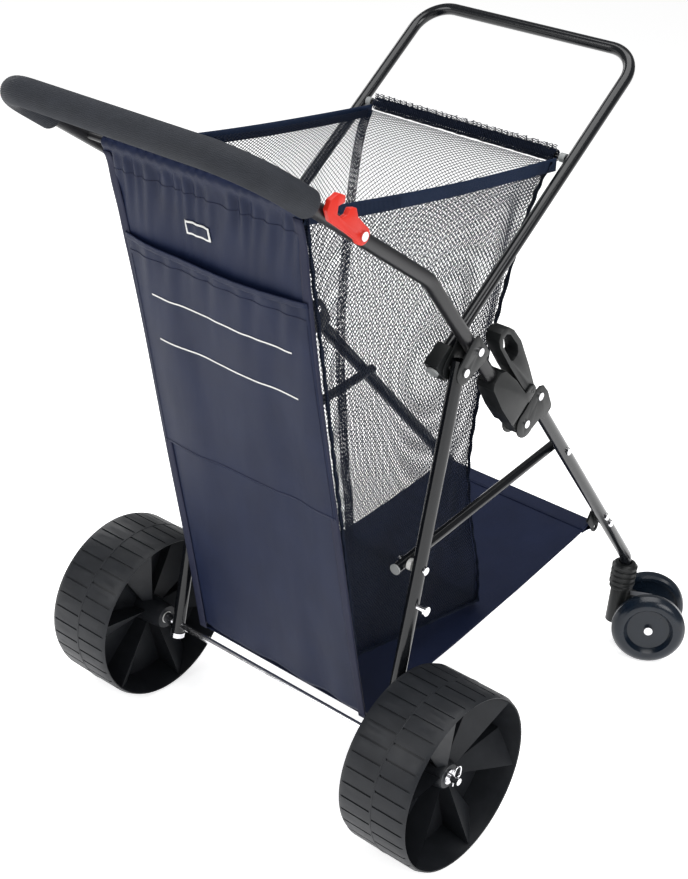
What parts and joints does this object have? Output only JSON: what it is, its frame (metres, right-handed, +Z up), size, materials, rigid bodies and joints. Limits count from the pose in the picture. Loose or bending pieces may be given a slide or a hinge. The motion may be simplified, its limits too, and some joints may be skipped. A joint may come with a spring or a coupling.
{
  "type": "beach cart",
  "caption": "Folding beach cart: deep mesh bag with a cloth back and rear pocket, wide rear wheels, swivelling front casters, push bar, front loop and a cloth shelf.",
  "frame": {"origin": "on the ground under the centre of the cart's bounding box, open and standing on its wheels", "axes": "+X to the pusher's right, +Y forward from the push bar to the casters, +Z up"},
  "size_m": [0.664, 1.1538, 1.0148],
  "materials": {
    "frame_black": "gloss black powder coat",
    "bright_steel": "bright plated",
    "wheel_plastic": "satin moulded black",
    "caster_blue": "gloss blue-black",
    "black_plastic": "satin black",
    "grey_plastic": "satin",
    "red_plastic": "satin",
    "light_plastic": "satin",
    "white_plastic": "satin",
    "grip_foam": "matte ribbed foam",
    "cloth_navy": "woven polyester with a slight sheen",
    "mesh": "open diamond mesh",
    "webbing": "ribbed webbing"
  },
  "bodies": {
    "rear_frame": {"rear_leg_right": "frame_black", "rear_leg_left": "frame_black", "rear_axle": "bright_steel", "axle_spacers": "bright_steel", "hitch_pins": "bright_steel", "leg_ferrules": "bright_steel", "catch_stud": "bright_steel", "hinge_pins": "bright_steel", "brace_pins": "bright_steel", "brace_spacers": "white_plastic", "back_panel": "cloth_navy", "back_pocket": "cloth_navy", "bag_front": "mesh", "bag_side_right": "mesh", "bag_side_left": "mesh", "bag_floor": "mesh", "side_bands": "webbing", "cargo_shelf": "cloth_navy"},
    "rear_wheel_right": {"rear_wheel_right": "wheel_plastic", "wheel_bushes_right": "white_plastic"},
    "rear_wheel_left": {"rear_wheel_left": "wheel_plastic", "wheel_bushes_left": "white_plastic"},
    "handle": {"handle_tube": "frame_black", "handle_grip": "grip_foam", "hinge_plates": "black_plastic", "plate_rivets": "bright_steel", "rear_rod": "frame_black", "hook_rivet": "bright_steel", "lock_housing_right": "black_plastic", "lock_housing_left": "black_plastic"},
    "fold_hook": {"fold_hook": "red_plastic"},
    "loop": {"loop_tube": "frame_black", "loop_caps": "light_plastic", "loop_saddles": "black_plastic", "front_rod": "frame_black", "rod_ferrules": "light_plastic"},
    "front_legs": {"front_leg_right": "frame_black", "front_leg_left": "frame_black", "leg_rivets": "bright_steel", "lock_plates": "black_plastic", "lock_rivets": "bright_steel", "shelf_bar": "frame_black", "shelf_brackets": "black_plastic", "caster_collars": "black_plastic"},
    "brace_right": {"side_brace_right": "frame_black", "brace_cap_right": "light_plastic"},
    "brace_left": {"side_brace_left": "frame_black", "brace_cap_left": "light_plastic"},
    "lock_lever_right": {"lock_lever_right": "black_plastic"},
    "lock_lever_left": {"lock_lever_left": "black_plastic"},
    "caster_right": {"caster_fork_right": "black_plastic", "caster_axle_right": "bright_steel"},
    "caster_wheel_right_near": {"caster_wheel_right_near": "caster_blue"},
    "caster_wheel_right_far": {"caster_wheel_right_far": "caster_blue"},
    "caster_lock_right": {"caster_lock_right": "grey_plastic"},
    "caster_left": {"caster_fork_left": "black_plastic", "caster_axle_left": "bright_steel"},
    "caster_wheel_left_near": {"caster_wheel_left_near": "caster_blue"},
    "caster_wheel_left_far": {"caster_wheel_left_far": "caster_blue"},
    "caster_lock_left": {"caster_lock_left": "grey_plastic"}
  },
  "joints": [
    {"name": "handle_fold", "type": "hinge", "parent": "rear_frame", "child": "handle", "pos_m": [0, -0.149, 0.652], "axis": [1, 0, 0], "range_deg": [0, 105], "deforming": ["back_panel", "back_pocket", "bag_front", "bag_side_right", "bag_side_left", "bag_floor", "side_bands", "cargo_shelf"]},
    {"name": "front_leg_fold", "type": "hinge", "parent": "handle", "child": "front_legs", "pos_m": [0, 0.009, 0.542], "axis": [1, 0, 0], "range_deg": [-142, 0]},
    {"name": "brace_right_fold", "type": "hinge", "parent": "rear_frame", "child": "brace_right", "pos_m": [0.175, -0.1737, 0.382], "axis": [1, 0, 0], "range_deg": [0, 50]},
    {"name": "brace_left_fold", "type": "hinge", "parent": "rear_frame", "child": "brace_left", "pos_m": [-0.175, -0.1737, 0.382], "axis": [1, 0, 0], "range_deg": [0, 50]},
    {"name": "loop_fold", "type": "hinge", "parent": "handle", "child": "loop", "pos_m": [0, -0.149, 0.652], "axis": [1, 0, 0], "range_deg": [0, 88]},
    {"name": "hook_turn", "type": "hinge", "parent": "handle", "child": "fold_hook", "pos_m": [0.19708, -0.387, 0.86923], "axis": [0.9999, -0.0097, 0.0053], "range_deg": [-20, 40]},
    {"name": "lock_lever_right_lift", "type": "hinge", "parent": "handle", "child": "lock_lever_right", "pos_m": [0.198, 0.009, 0.59008], "axis": [-1, 0, 0], "range_deg": [0, 16]},
    {"name": "rear_wheel_right_spin", "type": "hinge", "parent": "rear_frame", "child": "rear_wheel_right", "pos_m": [0.277, -0.197, 0.127], "axis": [1, 0, 0], "continuous": true},
    {"name": "caster_right_swivel", "type": "hinge", "parent": "front_legs", "child": "caster_right", "pos_m": [0.1525, 0.4764, 0.1], "axis": [0, 0, 1], "continuous": true},
    {"name": "caster_wheel_right_near_spin", "type": "hinge", "parent": "caster_right", "child": "caster_wheel_right_near", "pos_m": [0.2194, 0.46761, 0.0592], "axis": [0.5314, -0.8471, 0], "continuous": true},
    {"name": "caster_wheel_right_far_spin", "type": "hinge", "parent": "caster_right", "child": "caster_wheel_right_far", "pos_m": [0.1737, 0.54046, 0.0592], "axis": [0.5314, -0.8471, 0], "continuous": true},
    {"name": "caster_lock_right_press", "type": "hinge", "parent": "caster_right", "child": "caster_lock_right", "pos_m": [0.17029, 0.48756, 0.0942], "axis": [-0.5314, 0.8471, 0], "range_deg": [0, 10]},
    {"name": "lock_lever_left_lift", "type": "hinge", "parent": "handle", "child": "lock_lever_left", "pos_m": [-0.198, 0.009, 0.59008], "axis": [-1, 0, 0], "range_deg": [0, 16]},
    {"name": "rear_wheel_left_spin", "type": "hinge", "parent": "rear_frame", "child": "rear_wheel_left", "pos_m": [-0.277, -0.197, 0.127], "axis": [1, 0, 0], "continuous": true},
    {"name": "caster_left_swivel", "type": "hinge", "parent": "front_legs", "child": "caster_left", "pos_m": [-0.1525, 0.4764, 0.1], "axis": [0, 0, 1], "continuous": true},
    {"name": "caster_wheel_left_near_spin", "type": "hinge", "parent": "caster_left", "child": "caster_wheel_left_near", "pos_m": [-0.0856, 0.46761, 0.0592], "axis": [0.5314, -0.8471, 0], "continuous": true},
    {"name": "caster_wheel_left_far_spin", "type": "hinge", "parent": "caster_left", "child": "caster_wheel_left_far", "pos_m": [-0.1313, 0.54046, 0.0592], "axis": [0.5314, -0.8471, 0], "continuous": true},
    {"name": "caster_lock_left_press", "type": "hinge", "parent": "caster_left", "child": "caster_lock_left", "pos_m": [-0.13471, 0.48756, 0.0942], "axis": [-0.5314, 0.8471, 0], "range_deg": [0, 10]}
  ],
  "couplings": [
    {"joint": "front_leg_fold", "follows": "handle_fold", "ratio": -1.3445},
    {"joint": "brace_right_fold", "follows": "handle_fold", "ratio": 0.4721},
    {"joint": "brace_left_fold", "follows": "handle_fold", "ratio": 0.4721}
  ]
}
